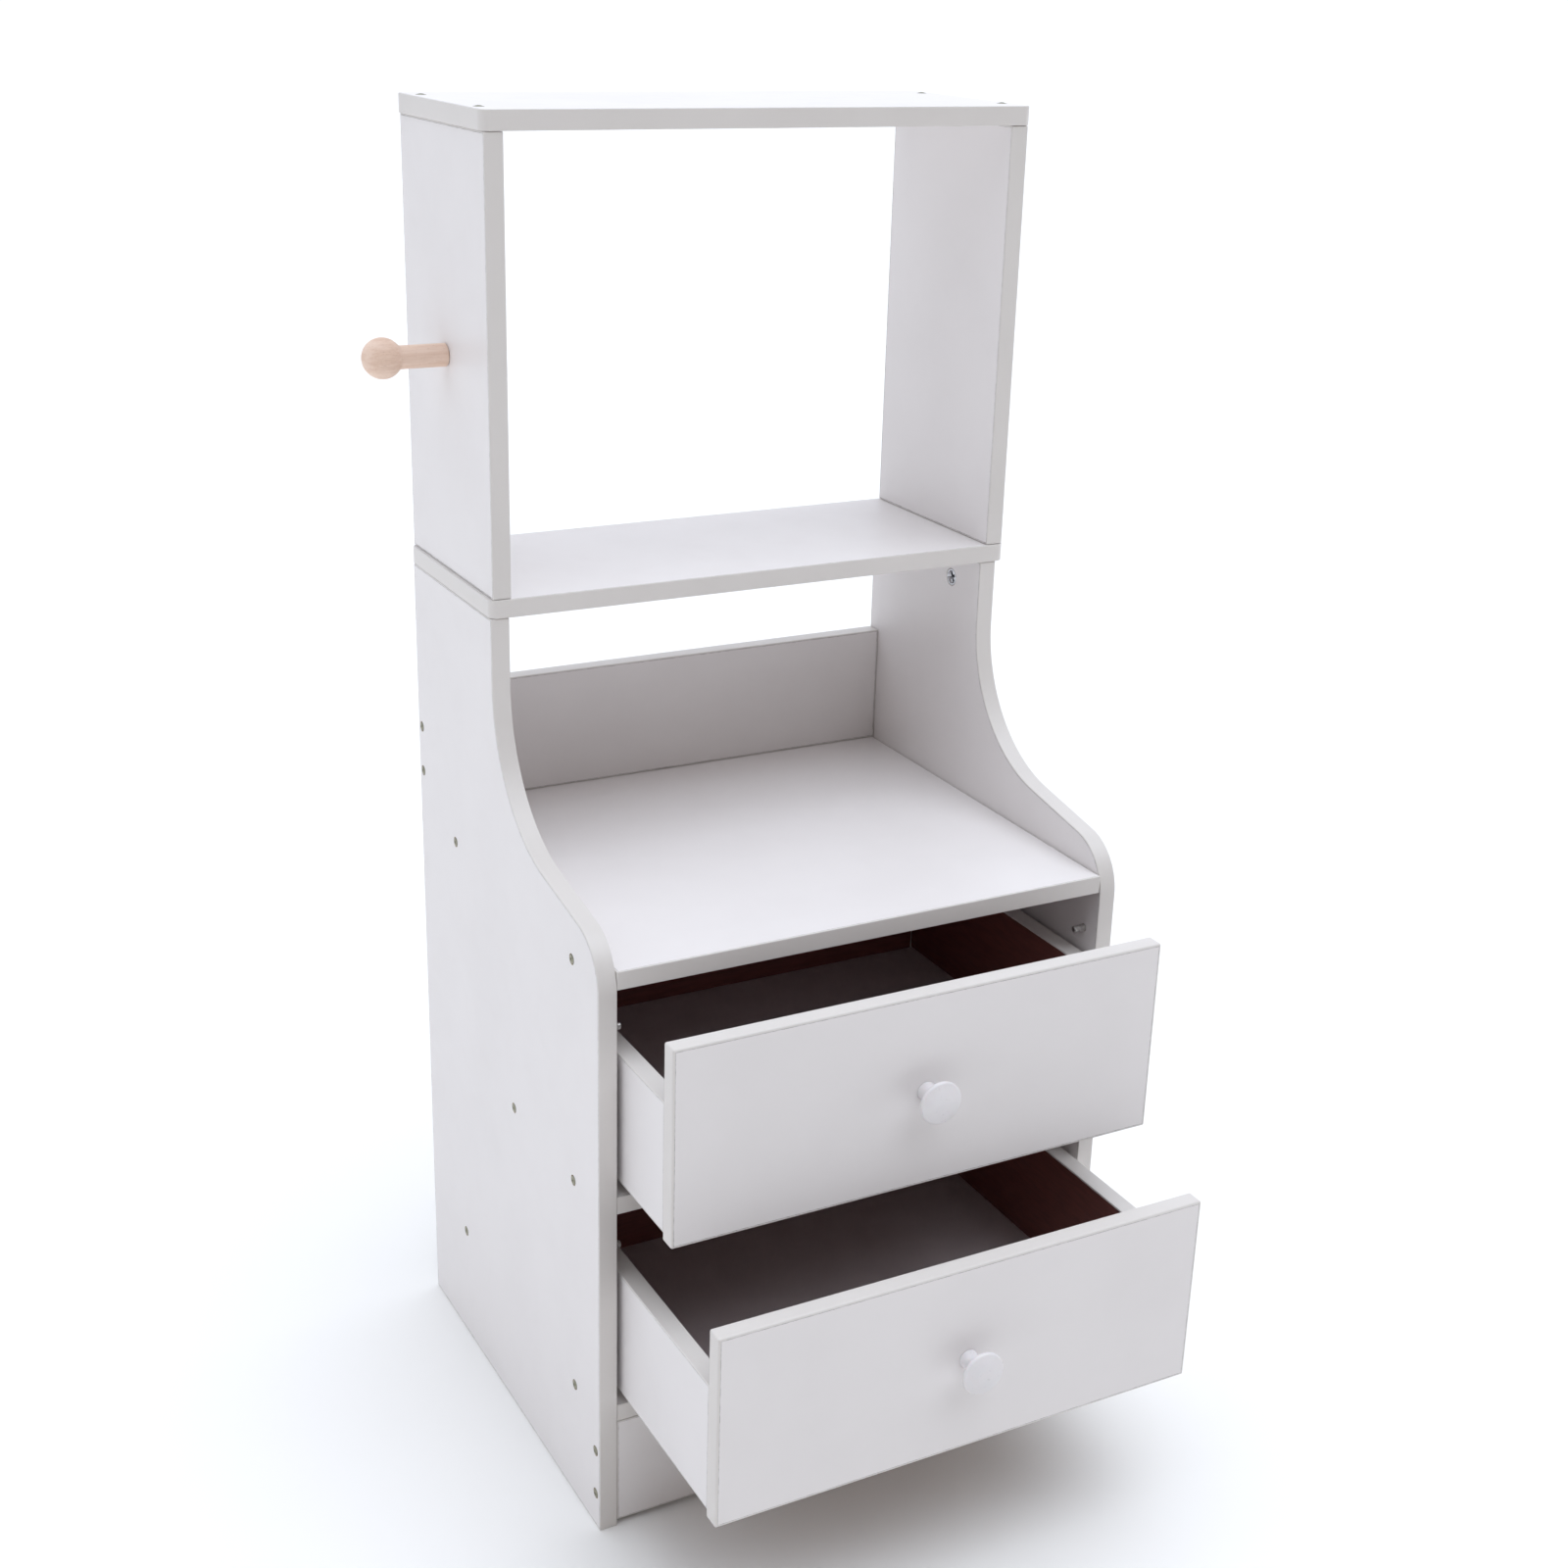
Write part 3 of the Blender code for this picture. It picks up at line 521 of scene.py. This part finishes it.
bare_hardboard, bare_feed, bare_place = new_material("bare_hardboard", IOR=1.5)
bare_fibres = bare_place.noise(0.0012, 4.0, 0.8)
bare_sheet = bare_fibres.between(0.35, 0.7).mix((0.21, 0.12, 0.07, 1), (0.13, 0.07, 0.04, 1))
bare_feed("Base Color", bare_sheet)
bare_feed("Roughness", 0.55 + 0.25 * bare_fibres)
bare_feed("Normal", bare_fibres.bump(0.0001, 0.7))


def take_away(piece, cutter):
    """Cuts a closed shape out of a piece. What the cut bares is raw board."""
    only(piece)
    bpy.ops.object.modifier_add(type="BOOLEAN")
    modifier = piece.modifiers[-1]
    modifier.operation = "DIFFERENCE"
    modifier.solver = "EXACT"
    modifier.object = cutter
    bpy.ops.object.modifier_apply(modifier=modifier.name)


def cut_in_raw_board(cutter):
    """Gives a cutter the boards' materials, with raw board all over for its cuts to show."""
    for material in BOARD_MATERIALS:
        cutter.data.materials.append(material)
    for face in cutter.data.polygons:
        face.material_index = RAW


def line_with_foil(piece, normal):
    """Gives a box board its brown inner face, the one that looks along the normal."""
    piece.data.materials.append(foil)
    pick(piece, "FACE", lambda face: face.normal.dot(Vector(normal)) > SQUARE
         and face.material_index == FACE)
    paint(piece, len(piece.data.materials) - 1)


for name in ("upper_drawer", "lower_drawer"):
    parts = {}
    parts["front"] = flat_board(name + "_front", rounding=FRONT_ROUND, steps=FRONT_STEPS)
    only(parts["front"])
    for part, inward in (("left", (1, 0, 0)), ("right", (-1, 0, 0)), ("back", (0, -1, 0))):
        parts[part] = flat_board(f"{name}_{part}")
        line_with_foil(parts[part], inward)
        only(parts[part])
    low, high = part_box(name + "_bottom")
    bpy.ops.object.select_all(action="DESELECT")
    bpy.ops.mesh.primitive_cube_add(size=1, location=(low + high) / 2)
    sheet = bpy.context.object
    sheet.name = name + "_bottom_sheet"
    bpy.ops.object.mode_set(mode="EDIT")
    bpy.ops.transform.resize(value=high - low)
    only(sheet)
    groove = copy_of(sheet, "groove", (low + high) / 2, (0, 0, 1))
    cut_in_raw_board(groove)
    groove.scale = [(span + 2 * GROOVE_ROOM) / span for span in high - low]
    for part, piece in parts.items():
        take_away(piece, groove)
        keep(piece, name, [f"{name}_{part}"])
    bpy.data.objects.remove(groove)
    only(sheet)
    bpy.ops.object.mode_set(mode="EDIT")
    bpy.ops.mesh.select_all(action="SELECT")
    bpy.ops.mesh.bevel(offset_type="OFFSET", offset=SHEET_ROUND, segments=SHEET_STEPS,
                       affect="EDGES")
    sheet.data.materials.append(hardboard)
    sheet.data.materials.append(bare_hardboard)
    pick(sheet, "FACE", lambda face: face.normal.z < DOWNWARD)
    paint(sheet, 1)
    only(sheet)
    keep(sheet, name, [name + "_bottom"])

# ---- Knobs ------------------------------------------------------------------------------------
# Moulded glossy white plastic mushrooms. The stem widens in a hollow to a flat cap, which has a
# round rim and a low crown. A pan-head screw holds each one through the drawer front from inside.
KNOB_BASE = 0.0078
KNOB_FOOT = 0.0015
KNOB_WAIST = 0.0068
KNOB_WAIST_LOW = 0.0055
KNOB_WAIST_HIGH = 0.0080
KNOB_FLARE = 0.0115          # radius of the hollow in which the stem widens
KNOB_FLARE_TURN = math.radians(60)
KNOB_UNDER = 0.0180          # underside of the cap above the drawer front
KNOB_RIM = 0.0022
FLARE_STEPS = 10
RIM_STEPS = 12
CROWN_STEPS = 12

gloss_white, gloss_feed, gloss_place = new_material(
    "gloss_white_plastic", IOR=1.5, Coat_Weight=0.15, Coat_Roughness=0.12,
    Subsurface_Weight=0.08, Subsurface_Scale=0.004)
flow = gloss_place.noise(0.012, 2.0)
gloss_colour = flow.between(0.3, 0.7).mix((0.77, 0.745, 0.75, 1), (0.75, 0.725, 0.73, 1))
gloss_feed("Base Color", gloss_colour)
gloss_feed("Roughness", 0.24 + 0.10 * gloss_place.noise(0.004, 3.0))
gloss_feed("Normal", flow.bump(0.00008, 0.3))

for name in ("upper_drawer", "lower_drawer"):
    low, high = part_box(name + "_knob")
    cap = (high.z - low.z) / 2
    crown = high.y - low.y
    rise = crown - KNOB_UNDER - 2 * KNOB_RIM
    flat = cap - KNOB_RIM
    bend = (flat ** 2 + rise ** 2) / (2 * rise)
    start(name + "_knob_turning", (0, 0, 0))
    straight((KNOB_BASE, 0, 0))
    straight((0, 0, KNOB_FOOT))
    straight((KNOB_WAIST - KNOB_BASE, 0, KNOB_WAIST_LOW - KNOB_FOOT))
    straight((0, 0, KNOB_WAIST_HIGH - KNOB_WAIST_LOW))
    curve((KNOB_WAIST + KNOB_FLARE, 0, KNOB_WAIST_HIGH), (0, 1, 0), -KNOB_FLARE_TURN, FLARE_STEPS)
    widest = KNOB_WAIST + KNOB_FLARE * (1 - math.cos(KNOB_FLARE_TURN))
    height = KNOB_WAIST_HIGH + KNOB_FLARE * math.sin(KNOB_FLARE_TURN)
    straight((flat - widest, 0, KNOB_UNDER - height))
    curve((flat, 0, KNOB_UNDER + KNOB_RIM), (0, 1, 0), math.pi, RIM_STEPS)
    curve((0, 0, crown - bend), (0, 1, 0), math.asin(flat / bend), CROWN_STEPS)
    knob = turned(name + "_knob_turning", FINE_TURNING)
    knob.data.materials.append(gloss_white)
    knob.matrix_world = (Matrix.Translation(((low.x + high.x) / 2, high.y, (low.z + high.z) / 2))
                         @ facing((0, -1, 0)).to_matrix().to_4x4())
    keep(knob, name, [name + "_knob"])

# ---- Runner strips ----------------------------------------------------------------------------
# Plain banded strips on the bottom board and the divider, glued along the side panels. The
# drawer boxes slide on them.
for node in sorted(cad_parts):
    if node.endswith("_runner"):
        boards[node] = keep(flat_board(node), "carcass", [node])

# ---- Screws -----------------------------------------------------------------------------------
# Yellow-passivated steel, with a low domed countersunk head and a cross recess. They go through
# the side panels into the ends of the boards, and through the top board into the uprights.
SCREW_HEAD = 0.0037
SCREW_RISE = 0.0009
SCREW_SINK = 0.0022
SCREW_SHANK = 0.0020
SCREW_POINT = 0.0010
SCREW_LENGTH = 0.045
SCREW_SPIN = 1.3             # each screw stops at another turn, radians on from the last
RECESS = (0.0042, 0.0010, 0.0013)    # length, width and depth of one arm pair
RECESS_TAPER = 0.55          # how wide a recess is at its floor, as a share of its mouth
SINK_ROOM = 0.0006           # screws' bores and countersinks are this much wider
PAST = 0.001                 # cutters run on this far above the face
DOME_STEPS = 6
SMALL_TURNING = 32           # faces round the smaller turned pieces
BORE_STEPS = 24

yellow_zinc = zinc("yellow_zinc", (0.32, 0.31, 0.235, 1), 0.26)


def cut_cross(piece, top, length, width, depth, material):
    """Cuts a tapered cross recess down into a piece's top, which looks along its Z axis."""
    piece.data.materials.append(material)
    for across in (0, math.pi / 2):
        bpy.ops.object.select_all(action="DESELECT")
        bpy.ops.mesh.primitive_cube_add(size=1, location=(0, 0, top - depth / 2 + PAST / 2))
        arm = bpy.context.object
        bpy.ops.object.mode_set(mode="EDIT")
        bpy.ops.transform.resize(value=(length, width, depth + PAST))
        pick(arm, "FACE", lambda face: face.normal.z < DOWNWARD)
        bpy.ops.transform.resize(value=(RECESS_TAPER, RECESS_TAPER, 1))
        only(arm)
        arm.rotation_euler.z = across
        take_away(piece, arm)
        bpy.data.objects.remove(arm)


def screw_profile(room, above):
    """Draws a countersunk screw from its point up to its head's rim, with room left round it."""
    start("screw", (0, 0, -SCREW_LENGTH - room))
    straight((SCREW_POINT + room, 0, 0))
    straight((SCREW_SHANK - SCREW_POINT, 0, SCREW_SINK))
    straight((0, 0, SCREW_LENGTH - 2 * SCREW_SINK))
    widen = (SCREW_HEAD - SCREW_SHANK) / SCREW_SINK
    straight((widen * (SCREW_SINK + above), 0, SCREW_SINK + above + room))


screw_profile(0, 0)
dome = (SCREW_HEAD ** 2 + SCREW_RISE ** 2) / (2 * SCREW_RISE)
curve((0, 0, SCREW_RISE - dome), (0, 1, 0), math.asin(SCREW_HEAD / dome), DOME_STEPS)
screw = turned("screw", SMALL_TURNING)
cut_cross(screw, SCREW_RISE, *RECESS, yellow_zinc)
screw_profile(SINK_ROOM, PAST)
straight((-SCREW_HEAD, 0, 0))
screw_bore = turned("screw_bore", BORE_STEPS)
bores = []
screw_nodes = sorted(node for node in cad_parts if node.endswith("_screw"))
for count, node in enumerate(screw_nodes):
    low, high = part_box(node)
    centre = (low + high) / 2
    if node.startswith("top_"):
        head, direction = Vector((centre.x, centre.y, high.z - SCREW_RISE)), (0, 0, 1)
    elif node.startswith("left_"):
        head, direction = Vector((low.x + SCREW_RISE, centre.y, centre.z)), (-1, 0, 0)
    else:
        head, direction = Vector((high.x - SCREW_RISE, centre.y, centre.z)), (1, 0, 0)
    keep(copy_of(screw, node + "_turning", head, direction, count * SCREW_SPIN),
         "carcass", [node])
    bores.append(copy_of(screw_bore, "bore", head, direction))
bpy.data.objects.remove(screw)
bpy.data.objects.remove(screw_bore)

# ---- Cam locks --------------------------------------------------------------------------------
# Round die-cast cams, flush in the side panels' inner faces under the middle shelf. A raised rim
# runs round the face, and a deep cross recess takes the screwdriver.
CAM_CHAMFER = 0.0004
CAM_RIM = 0.0016
CAM_FACE_DROP = 0.0013       # face below the rim
CAM_RECESS = (0.0098, 0.0030, 0.0055)
CAM_SPIN = 0.5               # where the cam stands turned to, in radians
FIT = 0.0003                 # its bore is this much wider

cast_zinc = zinc("cast_zinc", (0.50, 0.50, 0.52, 1), 0.12)


def bore_for(node, radius, place, direction, depth):
    """A round bore for a turned piece, from its mouth at the place down against the direction."""
    start("bore", (0, 0, -depth - FIT))
    straight((radius + FIT, 0, 0))
    straight((0, 0, depth + FIT + PAST))
    straight((-radius - FIT, 0, 0))
    bore = turned("bore", BORE_STEPS)
    bores.append(copy_of(bore, node + "_bore", place, direction))
    bpy.data.objects.remove(bore)


for node, direction in (("left_cam_lock", (1, 0, 0)), ("right_cam_lock", (-1, 0, 0))):
    low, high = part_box(node)
    radius = (high.z - low.z) / 2
    depth = high.x - low.x
    start("cam", (0, 0, -depth))
    straight((radius, 0, 0))
    straight((0, 0, depth - CAM_CHAMFER))
    straight((-CAM_CHAMFER, 0, CAM_CHAMFER))
    straight((CAM_CHAMFER - CAM_RIM, 0, 0))
    straight((-CAM_FACE_DROP, 0, -CAM_FACE_DROP))
    straight((CAM_RIM + CAM_FACE_DROP - radius, 0, 0))
    cam = turned("cam")
    cut_cross(cam, -CAM_FACE_DROP, *CAM_RECESS, cast_zinc)
    face = high.x if direction[0] > 0 else low.x
    mouth = Vector((face, (low.y + high.y) / 2, (low.z + high.z) / 2))
    keep(copy_of(cam, node + "_turning", mouth, direction, CAM_SPIN), "carcass", [node])
    bpy.data.objects.remove(cam)
    bore_for(node, radius, mouth, direction, depth)

# ---- Stop pins --------------------------------------------------------------------------------
# Plain steel pins pressed into the side panels behind the drawer fronts, with a shallow neck
# near the end. A closing front comes up against them.
PIN_DEPTH = 0.008
PIN_CHAMFER = 0.0008
PIN_NECK = 0.0006            # depth of the neck
PIN_NECK_LENGTH = 0.0020
PIN_HEAD_LENGTH = 0.0030

for node in sorted(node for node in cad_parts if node.endswith("_stop_pin")):
    low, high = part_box(node)
    radius = (high.z - low.z) / 2
    reach = high.x - low.x - PIN_DEPTH
    inward = 1 if "_left_" in node else -1
    start("pin", (0, 0, -PIN_DEPTH))
    straight((radius, 0, 0))
    straight((0, 0, PIN_DEPTH + reach - PIN_HEAD_LENGTH - PIN_NECK_LENGTH))
    straight((-PIN_NECK, 0, PIN_NECK))
    straight((0, 0, PIN_NECK_LENGTH - 2 * PIN_NECK))
    straight((PIN_NECK, 0, PIN_NECK))
    straight((0, 0, PIN_HEAD_LENGTH - PIN_CHAMFER))
    straight((-PIN_CHAMFER, 0, PIN_CHAMFER))
    straight((PIN_CHAMFER - radius, 0, 0))
    pin = turned("pin", SMALL_TURNING)
    pin.data.materials.append(bright_zinc)
    face = low.x + PIN_DEPTH if inward > 0 else high.x - PIN_DEPTH
    mouth = Vector((face, (low.y + high.y) / 2, (low.z + high.z) / 2))
    keep(copy_of(pin, node + "_turning", mouth, (inward, 0, 0)), "carcass", [node])
    bpy.data.objects.remove(pin)
    bore_for(node, radius, mouth, (inward, 0, 0), PIN_DEPTH)

# ---- Knob screws ------------------------------------------------------------------------------
# Bright plated steel, with a pan head and a cross recess. One goes through each drawer front into
# its knob, and its head shows inside the drawer.
PAN_HEAD = 0.0038
PAN_RISE = 0.0021
PAN_SHANK = 0.0020
PAN_LENGTH = 0.012
PAN_RECESS = (0.0042, 0.0010, 0.0012)

start("pan_screw", (0, 0, -PAN_LENGTH))
straight((PAN_SHANK, 0, 0))
straight((0, 0, PAN_LENGTH))
straight((PAN_HEAD - PAN_SHANK, 0, 0))
straight((0, 0, PAN_RISE / 2))
curve((PAN_HEAD - PAN_RISE / 2, 0, PAN_RISE / 2), (0, 1, 0), math.pi / 2, DOME_STEPS)
straight((PAN_RISE / 2 - PAN_HEAD, 0, 0))
pan_screw = turned("pan_screw", SMALL_TURNING)
cut_cross(pan_screw, PAN_RISE, *PAN_RECESS, bright_zinc)
for name in ("upper_drawer", "lower_drawer"):
    low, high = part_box(name + "_knob")
    place = ((low.x + high.x) / 2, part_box(name + "_front")[1].y, (low.z + high.z) / 2)
    keep(copy_of(pan_screw, name + "_knob_screw", place, (0, 1, 0)), name, [])
bpy.data.objects.remove(pan_screw)

# ---- Bores ------------------------------------------------------------------------------------
# The screws, cam locks, stop pins and the peg's tenon sit in bores drilled through the boards'
# faces, so a thin dark ring of raw chipboard shows round each.
low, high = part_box("peg")
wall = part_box("left_upright")[0].x
bore_for("peg", PEG_TENON, Vector((wall, (low.y + high.y) / 2, (low.z + high.z) / 2)), (-1, 0, 0),
         high.x - wall)
bores = joined(bores, "bores")
cut_in_raw_board(bores)
for node, piece in boards.items():
    if not node.endswith("_runner") and node not in ("back_panel", "middle_shelf"):
        take_away(piece, bores)
bpy.data.objects.remove(bores)

# ---- Finishing --------------------------------------------------------------------------------
# Rounded edges and turned surfaces shade smoothly, and the flat faces beside them stay flat.
# Edges that turn by more than this angle stay crisp.
SMOOTH_ANGLE = math.radians(35)

for piece in made_pieces:
    only(piece)
    bpy.ops.object.shade_smooth_by_angle(angle=SMOOTH_ANGLE)
    bpy.ops.object.modifier_add(type="WEIGHTED_NORMAL")
    piece.modifiers[-1].keep_sharp = True
    bpy.ops.object.modifier_apply(modifier=piece.modifiers[-1].name)

# ---- Studio -----------------------------------------------------------------------------------
# A white light tent over a plain pale floor, with evenly lit walls and a brighter roof. Little
# light comes from its open front, and the rear left corner is dimmer. A broad soft lamp hangs
# high up in front, a little to the right.
TENT = (1.04, 1.08, 1.17, 1)
ROOF = (1.20, 1.27, 1.38, 1)
OPENING = (0.22, 0.20, 0.19, 1)
CORNER = (0.55, 0.57, 0.62, 1)
OPENING_EDGE = (0.00, 0.60)      # cosines off straight ahead, between which the walls end
CORNER_EDGE = (0.75, 0.95)       # cosines off the corner, between which it dims
CORNER_SHARE = 0.7071            # the corner lies as far to the left as to the back
ROOF_EDGE = (0.60, 0.95)         # sines of the heights, between which the roof starts
FLOOR_RADIUS = 30
LAMP_STRENGTH = 1.05
LAMP_COLOUR = (0.95, 1.0, 1.08)
LAMP_WIDTH = math.radians(56)    # how wide it looks from the cabinet
LAMP_WAY = (0.22, -0.32, 1)      # from the cabinet towards it

bpy.ops.object.select_all(action="DESELECT")
bpy.ops.mesh.primitive_circle_add(vertices=64, radius=FLOOR_RADIUS, fill_type="NGON",
                                  location=(0, 0, 0))
floor = bpy.context.object
floor.name = "floor"
floor_paint, floor_feed, floor_place = new_material("floor_paint", Roughness=0.9)
floor_feed("Base Color", floor_place.noise(0.5).mix((0.90, 0.89, 0.87, 1), (0.91, 0.90, 0.88, 1)))
floor.data.materials.append(floor_paint)

world = bpy.data.worlds.new("tent")
bpy.context.scene.world = world
world.use_nodes = True
outlook = Wire(world.node_tree).node("TexCoord", {}, {}, "Generated")
behind = outlook.node("SeparateXYZ", {}, {"Vector": outlook}, "Y")
aside = outlook.node("SeparateXYZ", {}, {"Vector": outlook}, "X")
height = outlook.node("SeparateXYZ", {}, {"Vector": outlook}, "Z")
walls = (0 - behind).between(*OPENING_EDGE).mix(TENT, OPENING)
to_corner = CORNER_SHARE * behind - CORNER_SHARE * aside
walls = to_corner.between(*CORNER_EDGE).mix(walls, CORNER)
surround = height.between(*ROOF_EDGE).mix(walls, ROOF)
world.node_tree.links.new(surround.socket, world.node_tree.nodes["Background"].inputs["Color"])
bpy.context.scene.view_settings.view_transform = "Standard"

bpy.ops.object.select_all(action="DESELECT")
bpy.ops.object.light_add(type="SUN", location=(1, -2, 5))
lamp = bpy.context.object
lamp.name = "key"
lamp.data.energy = LAMP_STRENGTH
lamp.data.color = LAMP_COLOUR
lamp.data.angle = LAMP_WIDTH
lamp.rotation_euler = facing(LAMP_WAY)

# ---- Camera -----------------------------------------------------------------------------------
# It stands in front and to the left of the cabinet, a little above its top, and looks down on it.
# Its angles are in radians: turned from straight ahead, tipped from level, and rolled.
CAMERA_PLACE = (-0.7665, -1.4114, 1.1884)
CAMERA_HEADING = -0.499
CAMERA_PITCH = -0.3624
CAMERA_ROLL = 0.0298
CAMERA_LENS = 50.07          # millimetres, as the sensor's width
CAMERA_SENSOR = 36
CAMERA_SHIFT = (-0.0018, -0.0019)

bpy.ops.object.camera_add()
camera = bpy.context.object
camera.matrix_world = (Matrix.Translation(CAMERA_PLACE) @ Matrix.Rotation(CAMERA_HEADING, 4, "Z")
                       @ Matrix.Rotation(math.pi / 2 + CAMERA_PITCH, 4, "X")
                       @ Matrix.Rotation(CAMERA_ROLL, 4, "Z"))
camera.data.lens = CAMERA_LENS
camera.data.sensor_width = CAMERA_SENSOR
camera.data.shift_x, camera.data.shift_y = CAMERA_SHIFT
bpy.context.scene.camera = camera
